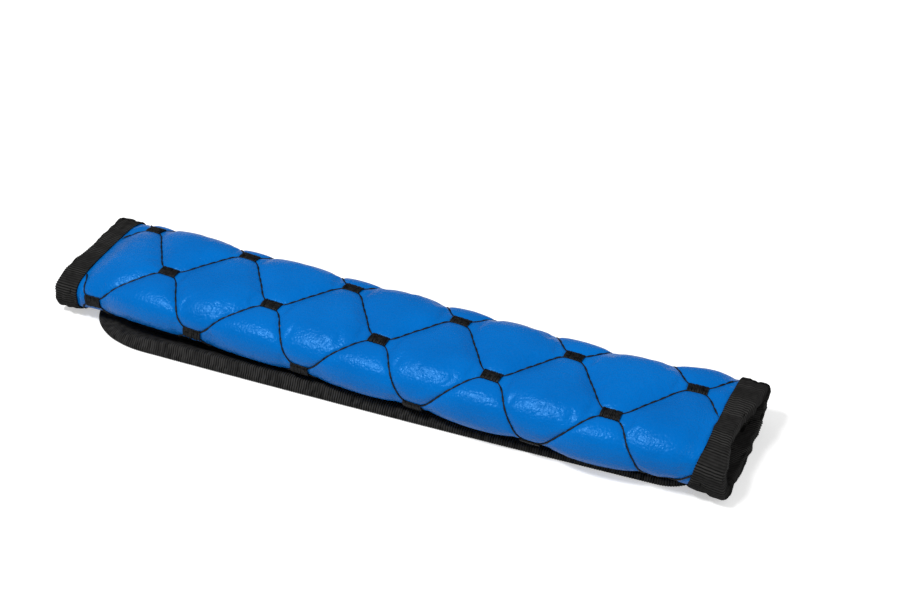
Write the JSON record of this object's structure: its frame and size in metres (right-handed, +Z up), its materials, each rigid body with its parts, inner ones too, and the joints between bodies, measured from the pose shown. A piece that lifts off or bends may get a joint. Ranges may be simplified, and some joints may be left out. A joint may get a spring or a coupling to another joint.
{
  "type": "seat belt shoulder pad",
  "caption": "Blue quilted leather look shoulder pad, a padded sheet folded into a flat open tube round the belt, with black ribbed end tapes and a closing flap underneath.",
  "frame": {"origin": "middle of the pad's footprint, on the ground it lies on", "axes": "+X along the pad, in the direction the belt runs, +Y to its back, away from the flap's free edge, +Z up"},
  "size_m": [0.298, 0.0666, 0.0275],
  "materials": {
    "blue_leather": "satin pebbled grain",
    "foam": "matte open cell foam",
    "black_knit": "matte knit",
    "ribbed_tape": "ribbed grosgrain",
    "black_thread": "satin stitch",
    "closure_tape": "matte hook and loop"
  },
  "bodies": {
    "root": {"quilted_cover": "blue_leather", "foam_pad": "foam", "inner_lining": "black_knit", "left_end_binding": "ribbed_tape", "right_end_binding": "ribbed_tape", "closing_flap": "black_knit", "flap_binding": "ribbed_tape", "hook_tape": "closure_tape", "loop_tape": "closure_tape", "front_bar_tack_1": "black_thread", "front_bar_tack_2": "black_thread", "front_bar_tack_3": "black_thread", "front_bar_tack_4": "black_thread", "front_bar_tack_5": "black_thread", "front_bar_tack_6": "black_thread", "middle_bar_tack_1": "black_thread", "middle_bar_tack_2": "black_thread", "middle_bar_tack_3": "black_thread", "middle_bar_tack_4": "black_thread", "middle_bar_tack_5": "black_thread", "back_bar_tack_1": "black_thread", "back_bar_tack_2": "black_thread", "back_bar_tack_3": "black_thread", "back_bar_tack_4": "black_thread", "back_bar_tack_5": "black_thread", "back_bar_tack_6": "black_thread"}
  },
  "joints": []
}
